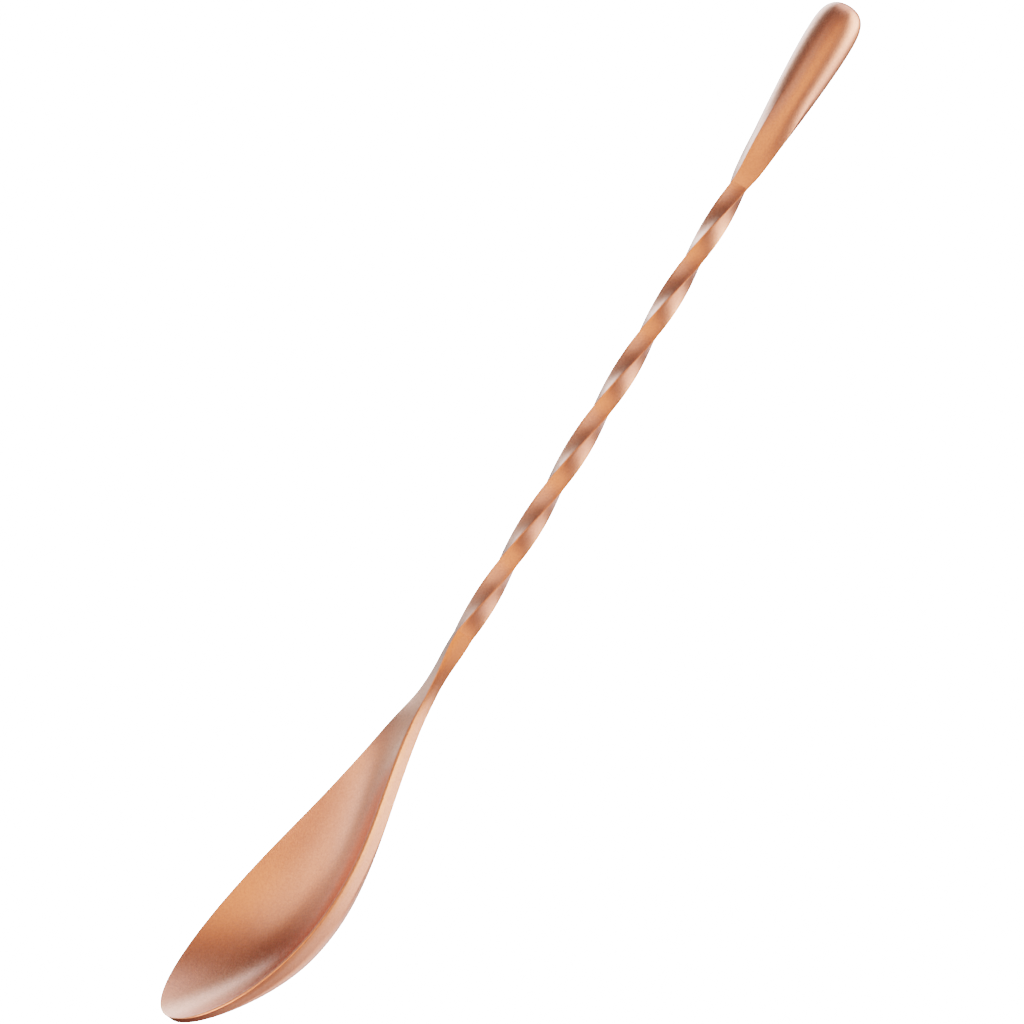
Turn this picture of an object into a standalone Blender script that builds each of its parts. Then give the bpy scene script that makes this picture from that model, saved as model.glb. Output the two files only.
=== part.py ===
# Bar spoon: a deep bowl with its neck, a twisted square stem and a solid drop-shaped end.
# Metres, +Z up. The spoon rests on the belly of its bowl and on its drop end, with the bowl
# opening upward, the bowl's tip at -X and the drop end at +X. The lengths below are stations
# along the stem's own axis, measured from the tip of the bowl.

import math
import bpy
import bmesh
from mathutils import Euler, Matrix, Vector

MM = 0.001

# Driving dimensions, in millimetres and degrees
LENGTH = 250.0
BAR_SIDE = 3.65             # across the flats of the square bar
BAR_EDGE = 0.15             # radius along the bar's four long edges
NECK_END = 94.0             # the bowl's neck stops here and the bar starts
QUARTER_TURN = 18.6         # length of bar that makes a quarter turn
TWIST = 532.0               # twist of the bar, right-handed
RUN_OUT = 10.0              # the drop's foot turns this much more while the twist dies away
NECK_ROLL = 32.0            # how far the neck's end is rolled against the bowl
ROLL_START = 70.0           # the neck starts to roll here

BOWL_WIDTH = 27.5
BOWL_WIDEST = 26.5          # station of the widest place
NECK_TAPER = 58.5           # from the widest place to the plain neck
TIP_ANGLE = 3.0             # the small flat at the very tip, as an angle on the tip's ellipse
RIM_HEIGHT = 2.2            # straight part of the rim over the stem's axis
RIM_BEND = 56.5             # the rim starts to rise here, towards the tip
RIM_RADIUS = 149.0          # of that rise
RIM_MERGE = (68.0, 80.0)    # the rim comes down to the top of the neck
RIM_LAND = 0.45             # flat on top of the rim
WALL_HEIGHT = 3.3           # upright outer wall under the rim
TIP_WALL = 1.9              # the same at the tip
TIP_WALL_REACH = 24.0
WALL_MERGE = (40.0, 64.0)   # the wall grows to the thickness of the bar
FOOT_INSET = 0.25           # the wall leans in by this much
SLIM_HALF = 3.0             # narrower half sections lean in less
BELLY_DEPTH = 7.7           # bulge below the wall
BELLY_FRONT = 1.9           # power of its front, 1 would be an ellipse
BELLY_DEEPEST = 28.0
BELLY_END = 72.0
BULGE = 2.0 / 3.0           # power of the belly's sections, 1 is a parabola
HOLLOW_DEPTH = 9.2          # depth of the hollow under its rim, its sections are parabolas
HOLLOW_FRONT = 1.9          # power of its front
HOLLOW_DEEPEST = 28.0
HOLLOW_END = 75.0           # it runs out into the flat top of the neck
WAIST = 1.3                 # how much thinner the neck is at its waist
WAIST_STATION = 81.5
WAIST_REACH = 8.0
WAIST_FADE = 86.0           # from here to the bar the waist runs out

DROP_DIAMETER = 10.3
DROP_WIDEST = 241.0
DROP_SWELL = 1.5            # power of the swelling
DROP_NOSE = 3.3             # squareness of the rounded end
DROP_ROUND = 230.0          # the square section is fully round from here on
NOSE_ANGLE = 86.0           # the last ring of the nose, 90 would be its pole

SPIGOT_DIAMETER = 1.6
SPIGOT_LENGTH = 4.0
FIT_GAP = 0.3               # between pieces that are brazed together

# How finely the pieces are divided
BELLY_STEPS = 8
HOLLOW_STEPS = 9
TIP_STEPS = 14
BODY_STEPS = 32
BAR_CORNER_STEPS = 3
TWIST_STEPS = 88
DROP_CORNER_STEPS = 7
SWELL_STEPS = 22
NOSE_STEPS = 9
HOLE_SIDES = 16

DROP_START = NECK_END + TWIST / 90.0 * QUARTER_TURN
BAR_HALF = BAR_SIDE / 2.0
OVERCUT = 1.0               # the drills start this far outside
SHARP_ANGLE = 35.0
COPPER = (0.70, 0.36, 0.20, 1.0)


def ease(value):
    """Smooth step from 0 to 1."""
    v = min(max(value, 0.0), 1.0)
    return v * v * (3.0 - 2.0 * v)


def eased_between(x, start, end):
    return ease((x - start) / (end - start))


def swell_down(value):
    """Cosine fall from 1 to 0."""
    return 0.5 * (1.0 + math.cos(math.pi * min(max(value, 0.0), 1.0)))


def round_front(value):
    """Quarter ellipse from 0 to 1."""
    return math.sqrt(max(0.0, 1.0 - (1.0 - min(max(value, 0.0), 1.0)) ** 2))


# ---- the bowl's rules ---------------------------------------------------------------

def half_width(x):
    if x < BOWL_WIDEST:
        return BOWL_WIDTH / 2.0 * round_front(x / BOWL_WIDEST)
    return BAR_HALF + (BOWL_WIDTH / 2.0 - BAR_HALF) * swell_down((x - BOWL_WIDEST) / NECK_TAPER)


def wall_height(x):
    bowl = TIP_WALL + (WALL_HEIGHT - TIP_WALL) * ease(x / TIP_WALL_REACH)
    neck = (BAR_SIDE - WALL_HEIGHT) * eased_between(x, *WALL_MERGE)
    waist = WAIST * math.exp(-((x - WAIST_STATION) / WAIST_REACH) ** 2)
    return bowl + neck - waist * (1.0 - eased_between(x, WAIST_FADE, NECK_END))


def belly_depth(x):
    if x < BELLY_DEEPEST:
        return BELLY_DEPTH * round_front(x / BELLY_DEEPEST) ** BELLY_FRONT
    return BELLY_DEPTH * swell_down((x - BELLY_DEEPEST) / (BELLY_END - BELLY_DEEPEST))


def rim_height(x):
    run = max(RIM_BEND - x, 0.0)
    sweep = RIM_HEIGHT + RIM_RADIUS - math.sqrt(RIM_RADIUS ** 2 - run ** 2)
    blend = eased_between(x, *RIM_MERGE)
    return sweep * (1.0 - blend) + wall_height(x) / 2.0 * blend


def hollow_depth(x):
    if x < HOLLOW_DEEPEST:
        return HOLLOW_DEPTH * round_front(x / HOLLOW_DEEPEST) ** HOLLOW_FRONT
    return HOLLOW_DEPTH * swell_down((x - HOLLOW_DEEPEST) / (HOLLOW_END - HOLLOW_DEEPEST))


def roll_angle(x):
    """Turn of the neck's section about the axis, in radians."""
    return -math.radians(NECK_ROLL) * eased_between(x, ROLL_START, NECK_END)


def bowl_ring(x):
    """Closed section of the bowl or neck at a station: belly, walls, rims and hollow."""
    half = half_width(x)
    rim = rim_height(x)
    foot_half = half - FOOT_INSET * min(1.0, half / SLIM_HALF)
    foot = rim - wall_height(x)
    belly = belly_depth(x)
    hollow = hollow_depth(x)
    edge = min(BAR_EDGE, half / 4.0)
    hollow_half = half - edge - min(RIM_LAND, half / 4.0)
    side = []
    for step in range(BELLY_STEPS + 1):
        q = math.sin(math.pi / 2.0 * step / BELLY_STEPS) * (1.0 - edge / foot_half)
        side.append((foot_half * q, foot - belly * (1.0 - q * q) ** BULGE))
    side.append((foot_half, foot + edge))
    side.append((half, rim - edge))
    side.append((half - edge, rim))
    for step in range(HOLLOW_STEPS + 1):
        q = math.cos(math.pi / 2.0 * step / HOLLOW_STEPS)
        side.append((hollow_half * q, rim - hollow * (1.0 - q * q)))
    other = [(-y, z) for y, z in reversed(side[1:-1])]
    return turned(side + other, roll_angle(x))


def turned(ring, angle):
    cos, sin = math.cos(angle), math.sin(angle)
    return [(y * cos - z * sin, y * sin + z * cos) for y, z in ring]


# ---- the bar's and the drop's rules -------------------------------------------------

def rounded_square(half, corner, steps):
    """Square with rounded corners; it is a circle when the corner radius equals half."""
    ring = []
    for quarter in range(4):
        for step in range(steps):
            a = math.pi / 2.0 * (step + 0.5) / steps
            point = (half - corner + corner * math.cos(a), half - corner + corner * math.sin(a))
            ring += turned([point], math.pi / 2.0 * quarter)
    return ring


def twist_angle(x):
    share = (x - NECK_END) / (DROP_START - NECK_END)
    return math.radians(TWIST * min(max(share, 0.0), 1.0) - NECK_ROLL)


def drop_half(x):
    """Half the drop's thickness: it swells from the bar and ends in a blunt nose."""
    if x < DROP_WIDEST:
        v = (x - DROP_START) / (DROP_WIDEST - DROP_START)
        return BAR_HALF + (DROP_DIAMETER / 2.0 - BAR_HALF) * (1.0 - (1.0 - v) ** DROP_SWELL)
    v = (x - DROP_WIDEST) / (LENGTH - DROP_WIDEST)
    return DROP_DIAMETER / 2.0 * (1.0 - min(v, 1.0) ** DROP_NOSE) ** (1.0 / DROP_NOSE)


def drop_angle(x):
    """Turn of the drop's section: it leaves the bar at the bar's rate and soon stops turning."""
    reach = 2.0 * RUN_OUT / 90.0 * QUARTER_TURN
    rest = max(1.0 - (x - DROP_START) / reach, 0.0)
    return twist_angle(DROP_START) + math.radians(RUN_OUT) * (1.0 - rest * rest)


def drop_ring(x):
    half = drop_half(x)
    blend = eased_between(x, DROP_START, DROP_ROUND)
    corner = BAR_EDGE + (half - BAR_EDGE) * blend
    return turned(rounded_square(half, corner, DROP_CORNER_STEPS), drop_angle(x))


# ---- meshes -------------------------------------------------------------------------

def material(name, roughness):
    mat = bpy.data.materials.new(name)
    mat.use_nodes = True
    shader = mat.node_tree.nodes["Principled BSDF"]
    shader.inputs["Base Color"].default_value = COPPER
    shader.inputs["Metallic"].default_value = 1.0
    shader.inputs["Roughness"].default_value = roughness
    mat.diffuse_color = COPPER
    return mat


def loft(name, rings, mat):
    """Skin of quads over rings of equal length, closed by a flat face at both ends."""
    bm = bmesh.new()
    loops = []
    for x, ring in rings:
        loops.append([bm.verts.new((x * MM, y * MM, z * MM)) for y, z in ring])
    for lower, upper in zip(loops, loops[1:]):
        for i in range(len(lower)):
            j = (i + 1) % len(lower)
            bm.faces.new((lower[i], lower[j], upper[j], upper[i]))
    bm.faces.new(loops[0])
    bm.faces.new(loops[-1])
    bmesh.ops.recalc_face_normals(bm, faces=bm.faces)
    mesh = bpy.data.meshes.new(name)
    bm.to_mesh(mesh)
    bm.free()
    mesh.shade_smooth()
    mesh.set_sharp_from_angle(angle=math.radians(SHARP_ANGLE))
    obj = bpy.data.objects.new(name, mesh)
    obj.data.materials.append(mat)
    bpy.context.collection.objects.link(obj)
    return obj


def drill(target, name, start, end, diameter):
    """Round blind hole along the axis between two stations."""
    bm = bmesh.new()
    radius = diameter / 2.0 * MM
    middle = Matrix.Translation(((start + end) / 2.0 * MM, 0.0, 0.0))
    along_axis = Matrix.Rotation(math.pi / 2.0, 4, "Y")
    bmesh.ops.create_cone(bm, cap_ends=True, segments=HOLE_SIDES, radius1=radius, radius2=radius,
                          depth=(end - start) * MM, matrix=middle @ along_axis)
    mesh = bpy.data.meshes.new(name)
    bm.to_mesh(mesh)
    bm.free()
    cutter = bpy.data.objects.new(name, mesh)
    cutter.hide_render = True
    cutter.display_type = "WIRE"
    bpy.context.collection.objects.link(cutter)
    cut = target.modifiers.new(name, "BOOLEAN")
    cut.operation = "DIFFERENCE"
    cut.solver = "EXACT"
    cut.object = cutter
    return cutter


def stations(start, end, count):
    return [start + (end - start) * i / count for i in range(count + 1)]


def build_bowl():
    tip_angles = stations(TIP_ANGLE, 90.0, TIP_STEPS)
    tip = [BOWL_WIDEST * (1.0 - math.cos(math.radians(a))) for a in tip_angles]
    body = stations(BOWL_WIDEST, NECK_END - FIT_GAP / 2.0, BODY_STEPS)[1:]
    bowl = loft("bowl", [(x, bowl_ring(x)) for x in tip + body], material("bowl_copper", 0.34))
    hole = drill(bowl, "neck_hole", NECK_END - SPIGOT_LENGTH - FIT_GAP, NECK_END + OVERCUT,
                 SPIGOT_DIAMETER + 2.0 * FIT_GAP)
    return [bowl, hole]


def build_stem():
    first = NECK_END + FIT_GAP / 2.0
    last = DROP_START - FIT_GAP / 2.0
    spigot = rounded_square(SPIGOT_DIAMETER / 2.0, SPIGOT_DIAMETER / 2.0, BAR_CORNER_STEPS)
    bar = rounded_square(BAR_HALF, BAR_EDGE, BAR_CORNER_STEPS)
    rings = [(NECK_END - SPIGOT_LENGTH, turned(spigot, twist_angle(first))),
             (first, turned(spigot, twist_angle(first)))]
    rings += [(x, turned(bar, twist_angle(x))) for x in stations(first, last, TWIST_STEPS)]
    rings += [(last, turned(spigot, twist_angle(last))),
              (DROP_START + SPIGOT_LENGTH, turned(spigot, twist_angle(last)))]
    return [loft("twisted_stem", rings, material("stem_copper", 0.32))]


def build_drop():
    swell = stations(DROP_START + FIT_GAP / 2.0, DROP_WIDEST, SWELL_STEPS)
    reach = LENGTH - DROP_WIDEST
    nose_angles = stations(0.0, NOSE_ANGLE, NOSE_STEPS)[1:]
    nose = [DROP_WIDEST + reach * math.sin(math.radians(a)) for a in nose_angles]
    drop = loft("drop_end", [(x, drop_ring(x)) for x in swell + nose], material("drop_copper", 0.34))
    hole = drill(drop, "drop_hole", DROP_START - OVERCUT, DROP_START + SPIGOT_LENGTH + FIT_GAP,
                 SPIGOT_DIAMETER + 2.0 * FIT_GAP)
    return [drop, hole]


def lay_down(pieces):
    """Hang the pieces on one empty, level the two resting points and centre the spoon."""
    axis = bpy.data.objects.new("spoon_axis", None)
    bpy.context.collection.objects.link(axis)
    for piece in pieces:
        piece.parent = axis
    points = [v.co for piece in pieces if not piece.hide_render for v in piece.data.vertices]
    middle = LENGTH / 2.0 * MM
    belly = min((p for p in points if p.x < middle), key=lambda p: p.z)
    drop = min((p for p in points if p.x > middle), key=lambda p: p.z)
    tilt = math.atan2(drop.z - belly.z, drop.x - belly.x)
    axis.rotation_euler = Euler((0.0, tilt, 0.0))
    laid = [axis.rotation_euler.to_matrix() @ p for p in points]
    low = Vector([min(p[i] for p in laid) for i in range(3)])
    high = Vector([max(p[i] for p in laid) for i in range(3)])
    axis.location = (-(low.x + high.x) / 2.0, -(low.y + high.y) / 2.0, -low.z)


for old in list(bpy.data.objects):
    bpy.data.objects.remove(old)

lay_down(build_bowl() + build_stem() + build_drop())
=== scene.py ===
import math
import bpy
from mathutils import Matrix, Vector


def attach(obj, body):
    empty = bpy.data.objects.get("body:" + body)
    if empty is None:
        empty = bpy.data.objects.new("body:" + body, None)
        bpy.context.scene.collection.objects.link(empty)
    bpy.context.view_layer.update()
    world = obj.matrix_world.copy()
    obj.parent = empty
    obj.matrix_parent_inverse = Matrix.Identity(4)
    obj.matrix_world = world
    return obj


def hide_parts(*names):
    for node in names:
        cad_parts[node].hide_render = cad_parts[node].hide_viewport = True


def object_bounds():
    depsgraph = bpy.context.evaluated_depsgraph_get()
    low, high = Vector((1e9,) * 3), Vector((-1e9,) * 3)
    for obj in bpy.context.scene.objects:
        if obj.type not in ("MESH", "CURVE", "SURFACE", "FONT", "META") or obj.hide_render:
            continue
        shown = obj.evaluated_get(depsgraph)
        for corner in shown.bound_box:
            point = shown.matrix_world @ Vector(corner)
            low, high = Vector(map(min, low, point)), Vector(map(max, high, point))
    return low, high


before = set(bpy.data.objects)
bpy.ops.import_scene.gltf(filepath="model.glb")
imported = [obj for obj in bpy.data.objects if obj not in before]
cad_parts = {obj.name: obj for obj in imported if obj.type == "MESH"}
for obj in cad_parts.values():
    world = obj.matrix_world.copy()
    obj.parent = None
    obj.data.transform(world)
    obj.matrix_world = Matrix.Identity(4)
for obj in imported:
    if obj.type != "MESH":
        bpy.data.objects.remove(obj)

# Copper bar spoon on a pale table: bowl with its neck, twisted square stem, drop end.
# Every piece is drawn along the stem's own axis, in millimetres from the bowl's tip, and is
# then laid down where the frame has it.

mm = 0.001
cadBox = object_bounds()
print("frame loaded:", ", ".join(sorted(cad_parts)))

# stations and sizes that more than one piece needs, millimetres and degrees
spoon = {
    "length": 250.0,
    "neckEnd": 94.0,           # bowl and stem meet here
    "barSide": 3.65,           # across the flats of the square bar
    "barEdge": 0.15,           # radius on its long edges
    "twist": 532.0,
    "quarterTurn": 18.6,       # length of bar for a quarter of the twist
    "neckRoll": 32.0,
    "capAngle": 60.0,          # a piece's closed ends stay sharp against its sides
}
# stem and drop meet where the twist is used up
spoon["dropStart"] = spoon["neckEnd"] + spoon["twist"] / 90.0 * spoon["quarterTurn"]


def ease(v):
    v = min(max(v, 0.0), 1.0)
    return v * v * (3.0 - 2.0 * v)


def easeBetween(x, start, end):
    return ease((x - start) / (end - start))


def swellDown(v):
    # cosine fall from 1 to 0
    return 0.5 * (1.0 + math.cos(math.pi * min(max(v, 0.0), 1.0)))


def roundFront(v):
    # quarter ellipse from 0 to 1
    return math.sqrt(max(0.0, 1.0 - (1.0 - min(max(v, 0.0), 1.0)) ** 2))


def dip(x, front, deepest, end):
    # share of the full depth: steep from the tip, an easy run out behind the deepest place
    if x < deepest:
        return roundFront(x / deepest) ** front
    return swellDown((x - deepest) / (end - deepest))


def turned(points, angle):
    c, s = math.cos(angle), math.sin(angle)
    return [(y * c - z * s, y * s + z * c) for y, z in points]


def softCorner(a, corner, b, steps):
    # quarter bend from a to b, pulled towards the corner, without its end points
    points = []
    for i in range(1, steps):
        t = i / steps
        s = 1.0 - t
        points.append(tuple(s * s * p + 2.0 * s * t * q + t * t * r
                            for p, q, r in zip(a, corner, b)))
    return points


def newPiece(name, mesh):
    mesh.set_sharp_from_angle(angle=math.radians(spoon["capAngle"]))
    piece = bpy.data.objects.new(name, mesh)
    bpy.context.scene.collection.objects.link(piece)
    return piece


def setWear(mesh, values):
    # 1 on rubbed edges and 0 elsewhere, the finish reads it
    wear = mesh.attributes.new("wear", "FLOAT", "POINT")
    wear.data.foreach_set("value", values)


def loft(name, rings):
    # quads over closed rings of (x, [(y, z, wear), ...]), each end closed by a fan round its middle
    vertices, faces, wear = [], [], []
    count = len(rings[0][1])
    for x, ring in rings:
        vertices += [(x * mm, y * mm, z * mm) for y, z, _ in ring]
        wear += [w for _, _, w in ring]
    for r in range(len(rings) - 1):
        for i in range(count):
            j = (i + 1) % count
            a, b = r * count, (r + 1) * count
            faces.append((a + i, a + j, b + j, b + i))
    for first, flip in ((0, True), ((len(rings) - 1) * count, False)):
        middle = Vector((0.0, 0.0, 0.0))
        for i in range(count):
            middle += Vector(vertices[first + i]) / count
        vertices.append(tuple(middle))
        wear.append(0.0)
        for i in range(count):
            j = (i + 1) % count
            fan = (first + i, first + j, len(vertices) - 1)
            faces.append(fan[::-1] if flip else fan)
    mesh = bpy.data.meshes.new(name)
    mesh.from_pydata(vertices, [], faces)
    mesh.validate()
    mesh.shade_smooth()
    setWear(mesh, wear)
    return newPiece(name, mesh)


bowl = {
    "width": 27.5,
    "widest": 26.5,
    "taper": 58.5,             # from the widest place down to the neck
    "rimHeight": 2.2,
    "rimBend": 56.5,           # the rim sweeps up from here to the tip
    "rimRadius": 149.0,
    "rimMerge": (68.0, 80.0),
    "rimRound": 0.36,          # outer edge of the rim
    "rimLand": 0.12,
    "wall": 3.3,
    "tipWall": 1.9,
    "tipWallReach": 24.0,
    "wallMerge": (40.0, 64.0),
    "footInset": 0.25,
    "slimHalf": 3.0,
    "belly": 7.7,
    "bellyFront": 1.9,
    "bellyDeepest": 28.0,
    "bellyEnd": 72.0,
    "bulge": 2.0 / 3.0,        # how full the belly's sections are, 1 is a parabola
    "hollow": 9.2,             # depth of the hollow under the rim, its sections are parabolas
    "hollowFront": 1.9,
    "hollowDeepest": 28.0,
    "hollowEnd": 75.0,
    "waist": 1.3,
    "waistAt": 81.5,
    "waistReach": 8.0,
    "waistFade": 86.0,
    "rollStart": 70.0,
    "firstRing": 0.004,        # the tip is closed by a fan from here
    "ringCrowd": 0.75,         # how much closer the rings stand near the tip
    "ringSteps": 240,          # rings from tip to neck
    "bellySteps": 22,
    "hollowSteps": 26,
    "edgeSteps": 6,
}


def halfWidth(x):
    full, bar = bowl["width"] / 2.0, spoon["barSide"] / 2.0
    if x < bowl["widest"]:
        return full * roundFront(x / bowl["widest"])
    return bar + (full - bar) * swellDown((x - bowl["widest"]) / bowl["taper"])


def wallHeight(x):
    front = bowl["tipWall"] + (bowl["wall"] - bowl["tipWall"]) * ease(x / bowl["tipWallReach"])
    neck = (spoon["barSide"] - bowl["wall"]) * easeBetween(x, *bowl["wallMerge"])
    waist = bowl["waist"] * math.exp(-((x - bowl["waistAt"]) / bowl["waistReach"]) ** 2)
    return front + neck - waist * (1.0 - easeBetween(x, bowl["waistFade"], spoon["neckEnd"]))


def bellyDepth(x):
    return bowl["belly"] * dip(x, bowl["bellyFront"], bowl["bellyDeepest"], bowl["bellyEnd"])


def rimHeight(x):
    run = max(bowl["rimBend"] - x, 0.0)
    sweep = bowl["rimHeight"] + bowl["rimRadius"] - math.sqrt(bowl["rimRadius"] ** 2 - run ** 2)
    blend = easeBetween(x, *bowl["rimMerge"])
    return sweep * (1.0 - blend) + wallHeight(x) / 2.0 * blend


def hollowDepth(x):
    return bowl["hollow"] * dip(x, bowl["hollowFront"], bowl["hollowDeepest"], bowl["hollowEnd"])


def rollAngle(x):
    return -math.radians(spoon["neckRoll"]) * easeBetween(x, bowl["rollStart"], spoon["neckEnd"])


def bowlRing(x):
    half = halfWidth(x)
    rim, foot = rimHeight(x), rimHeight(x) - wallHeight(x)
    footHalf = half - bowl["footInset"] * min(1.0, half / bowl["slimHalf"])
    belly, hollow = bellyDepth(x), hollowDepth(x)
    slim = easeBetween(x, *bowl["rimMerge"])    # 1 where the neck is a plain bar
    # near the tip the rounded edges shrink with the width
    edge = min(spoon["barEdge"], half / 4.0)
    outer = min(bowl["rimRound"] + (spoon["barEdge"] - bowl["rimRound"]) * slim, half / 3.0)
    # one side, from the keel up round the rim and down to the middle of the hollow
    side = []
    last = 1.0 - edge / footHalf
    for i in range(bowl["bellySteps"] + 1):
        q = last * math.sin(math.pi / 2.0 * i / bowl["bellySteps"])
        side.append((footHalf * q, foot - belly * (1.0 - q * q) ** bowl["bulge"]))
    start, end = side[-1], (footHalf, foot + edge)
    slope = (side[-1][1] - side[-2][1]) / max(side[-1][0] - side[-2][0], 1e-9)
    corner = (footHalf, min(start[1] + slope * edge, foot + edge / 2.0))
    side += softCorner(start, corner, end, bowl["edgeSteps"]) + [end]
    side.append((footHalf + (half - footHalf) * 0.5, (foot + edge + rim - outer) / 2.0))
    rubbedFrom = len(side)
    for i in range(bowl["edgeSteps"] + 1):
        a = math.pi / 2.0 * i / bowl["edgeSteps"]
        side.append((half - outer + outer * math.cos(a), rim - outer + outer * math.sin(a)))
    inner = half - outer - min(bowl["rimLand"], half / 8.0)
    side.append((inner, rim))
    rubbedTo = len(side)
    for i in range(1, bowl["hollowSteps"] + 1):
        q = math.cos(math.pi / 2.0 * i / bowl["hollowSteps"])
        side.append((inner * q, rim - hollow * (1.0 - q * q)))
    worn = [1.0 if rubbedFrom <= i < rubbedTo else 0.0 for i in range(len(side))]
    other = [(-y, z) for y, z in reversed(side[1:-1])]
    points = turned(side + other, rollAngle(x))
    return [(y, z, w) for (y, z), w in zip(points, worn + worn[-2:0:-1])]


def buildBowl():
    first, crowd = bowl["firstRing"], bowl["ringCrowd"]
    stations = []
    for i in range(bowl["ringSteps"] + 1):
        t = i / bowl["ringSteps"]
        stations.append(first + (spoon["neckEnd"] - first) * ((1.0 - crowd) * t + crowd * t * t))
    return loft("bowl_shell", [(x, bowlRing(x)) for x in stations])


drop = {
    "diameter": 10.3,
    "widest": 241.0,
    "swell": 1.5,              # power of the swelling
    "nose": 3.3,               # squareness of the rounded end
    "roundFrom": 230.0,        # the square section is fully round from here on
    "runOut": 10.0,            # its foot turns this much more while the twist dies away
    "wearReach": 22.0,         # the rubbed corners fade out over this much
    "swellSteps": 150,
    "noseSteps": 40,
    "cornerSteps": 4,
    "flatSteps": 26,           # across each flat
    "lastRing": 0.0005,        # the nose is closed by a fan this far from its end
}


def dropSection(half, full, worn):
    # the bar's square section, swelling into a circle as full goes from 0 to 1
    ring = []
    flat = half - spoon["barEdge"]
    for quarter in range(4):
        points = []
        for i in range(1, drop["flatSteps"]):
            t = 2.0 * i / drop["flatSteps"] - 1.0
            points.append((half, flat * math.tan(math.pi / 4.0 * t), 0.0))
        for i in range(drop["cornerSteps"] + 1):
            a = math.pi / 2.0 * i / drop["cornerSteps"]
            y, z = flat + spoon["barEdge"] * math.cos(a), flat + spoon["barEdge"] * math.sin(a)
            points.append((y, z, worn))
        for y, z, w in points:
            long = math.hypot(y, z)
            scale = 1.0 + (half / long - 1.0) * full
            ring.append(turned([(y * scale, z * scale)], math.pi / 2.0 * quarter)[0] + (w,))
    return ring


def dropHalf(x):
    bar, full = spoon["barSide"] / 2.0, drop["diameter"] / 2.0
    if x < drop["widest"]:
        v = (x - spoon["dropStart"]) / (drop["widest"] - spoon["dropStart"])
        return bar + (full - bar) * (1.0 - (1.0 - v) ** drop["swell"])
    v = (x - drop["widest"]) / (spoon["length"] - drop["widest"])
    return full * (1.0 - min(v, 1.0) ** drop["nose"]) ** (1.0 / drop["nose"])


def dropRing(x):
    half = dropHalf(x)
    full = easeBetween(x, spoon["dropStart"], drop["roundFrom"])
    worn = 1.0 - ease((x - spoon["dropStart"]) / drop["wearReach"])
    ring = dropSection(half, full, worn)
    reach = 2.0 * drop["runOut"] / 90.0 * spoon["quarterTurn"]
    rest = max(1.0 - (x - spoon["dropStart"]) / reach, 0.0)
    turn = spoon["twist"] - spoon["neckRoll"] + drop["runOut"] * (1.0 - rest * rest)
    return [turned([(y, z)], math.radians(turn))[0] + (w,) for y, z, w in ring]


def buildDrop():
    run = drop["widest"] - spoon["dropStart"]
    stations = [spoon["dropStart"] + run * i / drop["swellSteps"] for i in range(drop["swellSteps"])]
    nose = spoon["length"] - drop["widest"]
    for i in range(drop["noseSteps"]):
        stations.append(drop["widest"] + nose * math.sin(math.pi / 2.0 * i / drop["noseSteps"]))
    stations.append(spoon["length"] - drop["lastRing"])
    return loft("drop_knob", [(x, dropRing(x)) for x in stations])


class Wire:
    # a node's output that can be used in plain arithmetic
    def __init__(self, nodes, socket):
        self.nodes = nodes
        self.socket = socket

    def math(self, operation, *values):
        return self.nodes.math(operation, *values)

    def __add__(self, other):
        return self.math("ADD", self, other)

    def __radd__(self, other):
        return self.math("ADD", other, self)

    def __sub__(self, other):
        return self.math("SUBTRACT", self, other)

    def __rsub__(self, other):
        return self.math("SUBTRACT", other, self)

    def __mul__(self, other):
        return self.math("MULTIPLY", self, other)

    def __rmul__(self, other):
        return self.math("MULTIPLY", other, self)

    def clamped(self):
        return self.math("MINIMUM", self.math("MAXIMUM", self, 0.0), 1.0)


class Nodes:
    # builds shader and geometry trees
    def __init__(self, tree):
        self.tree = tree

    def add(self, kind, settings=None, inputs=None, out=0):
        # settings come first because some of them change the sockets
        node = self.tree.nodes.new(kind)
        for key, value in (settings or {}).items():
            setattr(node, key, value)
        for key, value in (inputs or {}).items():
            if isinstance(value, Wire):
                self.tree.links.new(value.socket, node.inputs[key])
            else:
                node.inputs[key].default_value = value
        return Wire(self, node.outputs[out]) if len(node.outputs) else node

    def math(self, operation, *values):
        return self.add("ShaderNodeMath", {"operation": operation}, dict(enumerate(values)))

    def mix(self, factor, a, b):
        # a Mix node keeps its colour sockets at 6 and 7 and gives its colour at 2
        return self.add("ShaderNodeMix", {"data_type": "RGBA"}, {0: factor, 6: a, 7: b}, 2)


stem = {
    "lengthSteps": 520,
    "edgePoints": 4,           # steps on each rounded long edge
    "flatCuts": 5,             # points across each flat
    "rubFrom": 0.955,          # the rub starts at this share of the reach of the long edges
    "rubOver": 0.04,           # and is full this much further out
}


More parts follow.
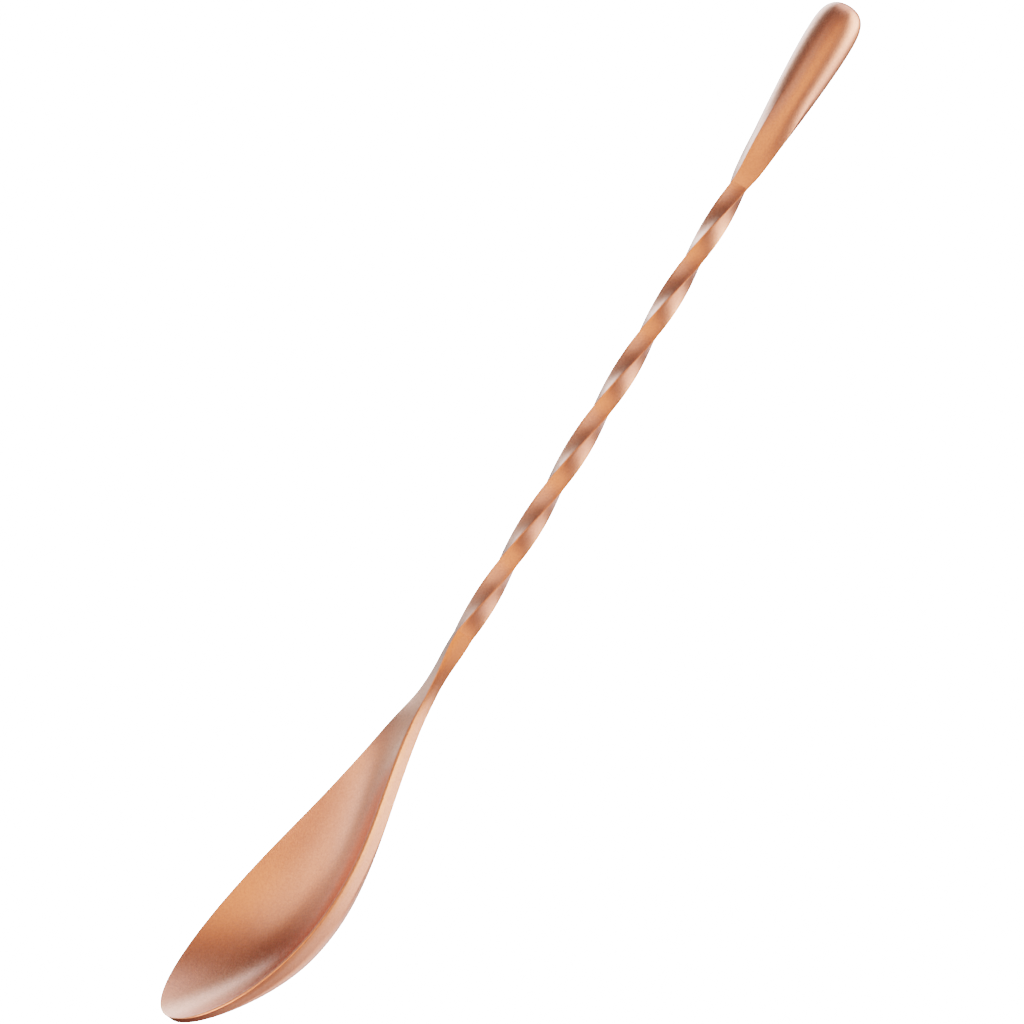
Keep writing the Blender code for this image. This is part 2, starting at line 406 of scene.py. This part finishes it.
def stemTree(material, sizes, counts):
    tree = bpy.data.node_groups.new("twistedBar", "GeometryNodeTree")
    for kind, values in (("NodeSocketFloat", sizes), ("NodeSocketInt", counts)):
        for name, value in values.items():
            socket = tree.interface.new_socket(name, in_out="INPUT", socket_type=kind)
            socket.default_value = value
    tree.interface.new_socket("Geometry", in_out="OUTPUT", socket_type="NodeSocketGeometry")
    n = Nodes(tree)
    group = tree.nodes.new("NodeGroupInput")
    given = {socket.name: Wire(n, socket) for socket in group.outputs if socket.name}
    start = n.add("ShaderNodeCombineXYZ", None, {"X": given["Start"]})
    end = n.add("ShaderNodeCombineXYZ", None, {"X": given["End"]})
    line = n.add("GeometryNodeCurvePrimitiveLine", None, {"Start": start, "End": end})
    path = n.add("GeometryNodeResampleCurve", None, {"Curve": line, "Count": given["Length Steps"]})
    along = n.add("GeometryNodeSplineParameter")
    turn = along * given["Twist"] + given["First Angle"]
    tilted = n.add("GeometryNodeSetCurveTilt", None, {"Curve": path, "Tilt": turn})
    square = n.add("GeometryNodeCurvePrimitiveQuadrilateral", None,
                   {"Width": given["Side"], "Height": given["Side"]})
    rounded = n.add("GeometryNodeFilletCurve", {"mode": "POLY"},
                    {"Curve": square, "Count": given["Edge Points"], "Radius": given["Edge"],
                     "Limit Radius": True})
    section = n.add("GeometryNodeSubdivideCurve", None, {"Curve": rounded, "Cuts": given["Flat Cuts"]})
    bar = n.add("GeometryNodeCurveToMesh", None,
                {"Curve": tilted, "Profile Curve": section, "Fill Caps": True})
    smooth = n.add("GeometryNodeSetShadeSmooth", None, {"Geometry": bar, "Shade Smooth": True})
    real = n.add("GeometryNodeRealizeInstances", None, {"Geometry": smooth})
    done = n.add("GeometryNodeSetMaterial", None, {"Geometry": real, "Material": material})
    n.add("NodeGroupOutput", None, {"Geometry": done})
    return tree


def buildStem(material):
    seed = bpy.data.objects.new("stem_maker", bpy.data.meshes.new("stem_maker"))
    bpy.context.scene.collection.objects.link(seed)
    sizes = {
        "Start": spoon["neckEnd"] * mm,
        "End": spoon["dropStart"] * mm,
        "Side": spoon["barSide"] * mm,
        "Edge": spoon["barEdge"] * mm,
        "First Angle": math.radians(-spoon["neckRoll"]),
        "Twist": math.radians(spoon["twist"]),
    }
    counts = {
        "Length Steps": stem["lengthSteps"],
        "Edge Points": stem["edgePoints"],
        "Flat Cuts": stem["flatCuts"],
    }
    wanted = {**sizes, **counts}
    made = seed.modifiers.new("twistedBar", "NODES")
    made.node_group = stemTree(material, sizes, counts)
    for item in made.node_group.interface.items_tree:
        if item.item_type == "SOCKET" and item.name in wanted:
            made[item.identifier] = wanted[item.name]
    bpy.context.view_layer.update()
    shape = seed.evaluated_get(bpy.context.evaluated_depsgraph_get())
    mesh = bpy.data.meshes.new_from_object(shape)
    mesh.name = "stem_bar"
    bpy.data.objects.remove(seed)
    # the long edges are the points farthest from the axis
    reach = [math.hypot(v.co.y, v.co.z) for v in mesh.vertices]
    edge = max(reach)
    setWear(mesh, [ease((r / edge - stem["rubFrom"]) / stem["rubOver"]) for r in reach])
    return newPiece("stem_bar", mesh)


# satin copper: a rough plated metal under a clear hard skin, blasted with fine beads
copper = {
    "colour": (0.92, 0.22, 0.08, 1.0),
    "dull": (0.72, 0.165, 0.07, 1.0),
    "rubbed": (0.95, 0.22, 0.07, 1.0),
    "roughness": 0.42,
    "roughSpread": 0.05,
    "rubbedRoughness": 0.34,
    "skin": 1.0,
    "skinSpeck": 0.2,
    "rubbedSkin": 0.7,         # how much of the skin is gone where it is rubbed
    "skinIor": 2.2,
    "skinRoughness": 0.35,
    "beadScale": 2800.0,       # this and the other scales are per metre
    "beadDetail": 1.0,
    "beadRoughness": 0.6,
    "beadDepth": 0.000035,
    "beadStrength": 0.8,
    "pitScale": 1680.0,
    "pitDepth": 0.4,           # against the beads
    "cloudScale": 90.0,
    "cloudDetail": 3.0,
    "smearScale": 900.0,
    "smearDetail": 4.0,
    "rubEven": 0.25,           # the rub that is there whatever the smears say
    "rubSmear": 0.6,
    "speckContrast": 3.0,
    "speckDull": 0.55,
    "cloudDull": 0.9,
}


def copperFinish(name, seed):
    # the seed only moves the patterns, so that no two pieces match
    mat = bpy.data.materials.new(name)
    mat.use_nodes = True
    n = Nodes(mat.node_tree)
    shader = mat.node_tree.nodes["Principled BSDF"]
    place = n.add("ShaderNodeTexCoord", None, None, "Object")
    moved = n.add("ShaderNodeVectorMath", {"operation": "ADD"}, {0: place, 1: (seed, 0.0, 0.0)})
    beads = n.add("ShaderNodeTexNoise", None,
                  {"Vector": moved, "Scale": copper["beadScale"], "Detail": copper["beadDetail"],
                   "Roughness": copper["beadRoughness"]})
    pits = n.add("ShaderNodeTexVoronoi", None, {"Vector": moved, "Scale": copper["pitScale"]})
    clouds = n.add("ShaderNodeTexNoise", None,
                   {"Vector": moved, "Scale": copper["cloudScale"], "Detail": copper["cloudDetail"]})
    smears = n.add("ShaderNodeTexNoise", None,
                   {"Vector": moved, "Scale": copper["smearScale"], "Detail": copper["smearDetail"]})
    worn = n.add("ShaderNodeAttribute", {"attribute_name": "wear"}, None, "Fac")
    rub = (worn * (copper["rubEven"] + smears * copper["rubSmear"])).clamped()
    speck = ((beads - 0.5) * copper["speckContrast"] + 0.5).clamped()
    dull = (copper["speckDull"] * speck + copper["cloudDull"] * (clouds - 0.5)).clamped()
    tone = n.mix(dull, copper["colour"], copper["dull"])
    tone = n.mix(rub, tone, copper["rubbed"])
    rough = copper["roughness"] + (speck + smears - 1.0) * copper["roughSpread"]
    rough = rough + rub * (copper["rubbedRoughness"] - copper["roughness"])
    height = beads + copper["pitDepth"] * pits
    bump = n.add("ShaderNodeBump", None,
                 {"Strength": copper["beadStrength"], "Distance": copper["beadDepth"], "Height": height})
    links = mat.node_tree.links
    links.new(tone.socket, shader.inputs["Base Color"])
    links.new(rough.socket, shader.inputs["Roughness"])
    links.new(bump.socket, shader.inputs["Normal"])
    shader.inputs["Metallic"].default_value = 1.0
    skin = copper["skin"] * (1.0 - copper["rubbedSkin"] * rub) * (1.0 - copper["skinSpeck"] * speck)
    links.new(skin.socket, shader.inputs["Coat Weight"])
    shader.inputs["Coat IOR"].default_value = copper["skinIor"]
    shader.inputs["Coat Roughness"].default_value = copper["skinRoughness"]
    return mat


def layDown(pieces):
    # level the lowest points of belly and drop, then move the spoon to the frame's place
    points = [v.co.copy() for piece in pieces for v in piece.data.vertices]
    middle = spoon["length"] / 2.0 * mm
    belly = min((p for p in points if p.x < middle), key=lambda p: p.z)
    knob = min((p for p in points if p.x > middle), key=lambda p: p.z)
    level = Matrix.Rotation(math.atan2(knob.z - belly.z, knob.x - belly.x), 4, "Y")
    laid = [level @ p for p in points]
    low = Vector([min(p[i] for p in laid) for i in range(3)])
    high = Vector([max(p[i] for p in laid) for i in range(3)])
    cadLow, cadHigh = Vector(cadBox[0]), Vector(cadBox[1])
    shift = (cadLow + cadHigh - low - high) / 2.0
    shift.z = cadLow.z - low.z
    place = Matrix.Translation(shift) @ level
    for piece in pieces:
        piece.data.transform(place)
    return place


bowlShell = buildBowl()
stemBar = buildStem(copperFinish("stem_copper", 3.0))
dropKnob = buildDrop()
bowlShell.data.materials.append(copperFinish("bowl_copper", 1.0))
dropKnob.data.materials.append(copperFinish("drop_copper", 7.0))
place = layDown([bowlShell, stemBar, dropKnob])
print("pieces made:", ", ".join(p.name for p in (bowlShell, stemBar, dropKnob)))

for piece, node, finish in ((bowlShell, "bowl", "bowl_copper"), (stemBar, "twisted_stem", "stem_copper"),
                            (dropKnob, "drop_end", "drop_copper")):
    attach(piece, "root")
    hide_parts(node)
print("pieces placed in the frame")


view = {
    "lens": 120.0,
    "sensor": 36.0,
    "aimStation": 148.0,       # a point on the stem's axis
    "distance": 687.4,         # from the camera to that point, along the view
    "right": 17.9,             # where that point lies right of and above the picture's middle
    "up": 20.3,
    "lean": 13.4,              # how far the far end of the stem leans away
    "roll": 50.0,              # turn of the spoon about its axis towards the camera
    "slant": 58.4,             # angle of the stem in the picture, up from level
}


def buildCamera():
    roll, lean, slant = (math.radians(view[key]) for key in ("roll", "lean", "slant"))
    along, up = Vector((1.0, 0.0, 0.0)), Vector((0.0, 0.0, 1.0))
    near = Vector((0.0, -1.0, 0.0))
    across = math.cos(roll) * near - math.sin(roll) * up
    face = math.sin(roll) * near + math.cos(roll) * up
    stemWay = math.cos(lean) * along + math.sin(lean) * face
    toCamera = math.cos(lean) * face - math.sin(lean) * along
    right = math.cos(slant) * stemWay + math.sin(slant) * across
    above = math.sin(slant) * stemWay - math.cos(slant) * across
    aim = Vector((view["aimStation"], 0.0, 0.0))
    spot = aim - view["right"] * right - view["up"] * above + view["distance"] * toCamera
    turn = Matrix((right, above, toCamera)).transposed().to_4x4()
    data = bpy.data.cameras.new("camera")
    data.lens = view["lens"]
    data.sensor_width = view["sensor"]
    camera = bpy.data.objects.new("camera", data)
    camera.matrix_world = place @ Matrix.Translation(spot * mm) @ turn
    bpy.context.scene.collection.objects.link(camera)
    bpy.context.scene.camera = camera


buildCamera()

# soft boxes all round the spoon: compass angle from +X, height angle, watts, colour
lamps = {
    "front": (-140.0, 10.0, 7.0, (1.0, 0.85, 0.8)),
    "dropEnd": (-30.0, -25.0, 4.5, (0.95, 1.0, 0.95)),
    "back": (50.0, 5.0, 4.0, (0.6, 0.9, 1.0)),
    "bowlEnd": (160.0, 50.0, 1.5, (0.6, 0.9, 1.0)),
    "under": (-45.0, -45.0, 1.5, (1.0, 1.0, 0.95)),
    "tip": (0.0, 5.0, 2.0, (0.9, 0.95, 1.0)),
    "backLow": (95.0, 20.0, 1.0, (0.6, 0.9, 0.95)),
    "backDeep": (80.0, 0.0, 0.5, (0.5, 0.9, 1.0)),
    "bowlUnder": (-155.0, -70.0, 1.5, (1.0, 0.9, 0.8)),
    "backUnder": (90.0, -60.0, 1.0, (0.95, 1.0, 1.0)),
    "key": (-170.0, 65.0, 1.0, (1.0, 0.75, 0.65)),
    "top": (-85.0, 70.0, 1.5, (1.0, 0.9, 0.8)),
    "backTop": (105.0, 60.0, 0.5, (1.0, 0.95, 0.9)),
    "warm": (-80.0, 30.0, 2.0, (1.0, 0.6, 0.35)),
    "side": (-80.0, -50.0, 1.0, (1.0, 1.0, 1.0)),
}
lampDistance = 0.7
lampSize = 0.6


def buildLamp(name, angle, height, watts, colour):
    a, h = math.radians(angle), math.radians(height)
    away = Vector((math.cos(h) * math.cos(a), math.cos(h) * math.sin(a), math.sin(h)))
    data = bpy.data.lights.new(name, "AREA")
    data.shape = "DISK"
    data.size = lampSize
    data.energy = watts
    data.color = colour
    lamp = bpy.data.objects.new(name, data)
    lamp.location = place @ Vector((spoon["length"] / 2.0 * mm, 0.0, 0.0)) + away * lampDistance
    lamp.rotation_euler = away.to_track_quat("Z", "Y").to_euler()
    lamp.visible_camera = False
    bpy.context.scene.collection.objects.link(lamp)


for name, values in lamps.items():
    buildLamp(name, *values)

tableLook = {
    "half": 3.0,
    "colour": (0.85, 0.85, 0.85, 1.0),
    "glowColour": (1.0, 1.0, 1.0, 1.0),
    "glow": 18.0,              # keeps the table white whatever the lamps do
}


def buildTable():
    half = tableLook["half"]
    mesh = bpy.data.meshes.new("table")
    mesh.from_pydata([(-half, -half, 0.0), (half, -half, 0.0), (half, half, 0.0), (-half, half, 0.0)],
                     [], [(0, 1, 2, 3)])
    table = bpy.data.objects.new("table", mesh)
    mat = bpy.data.materials.new("table_white")
    mat.use_nodes = True
    shader = mat.node_tree.nodes["Principled BSDF"]
    shader.inputs["Base Color"].default_value = tableLook["colour"]
    shader.inputs["Roughness"].default_value = 1.0
    shader.inputs["Emission Color"].default_value = tableLook["glowColour"]
    shader.inputs["Emission Strength"].default_value = tableLook["glow"]
    mesh.materials.append(mat)
    bpy.context.scene.collection.objects.link(table)
    # only the camera sees the table, so the lamps under it still reach the spoon
    table.visible_diffuse = False
    table.visible_glossy = False
    table.visible_transmission = False
    table.visible_shadow = False


room = {
    "colour": (1.0, 1.0, 1.0, 1.0),
    "strength": 0.02,
}


def buildRoom():
    world = bpy.data.worlds.new("studio")
    world.use_nodes = True
    shader = world.node_tree.nodes["Background"]
    shader.inputs["Color"].default_value = room["colour"]
    shader.inputs["Strength"].default_value = room["strength"]
    bpy.context.scene.world = world
    bpy.context.scene.view_settings.view_transform = "Filmic"


buildTable()
buildRoom()
print("camera, lamps and table ready")
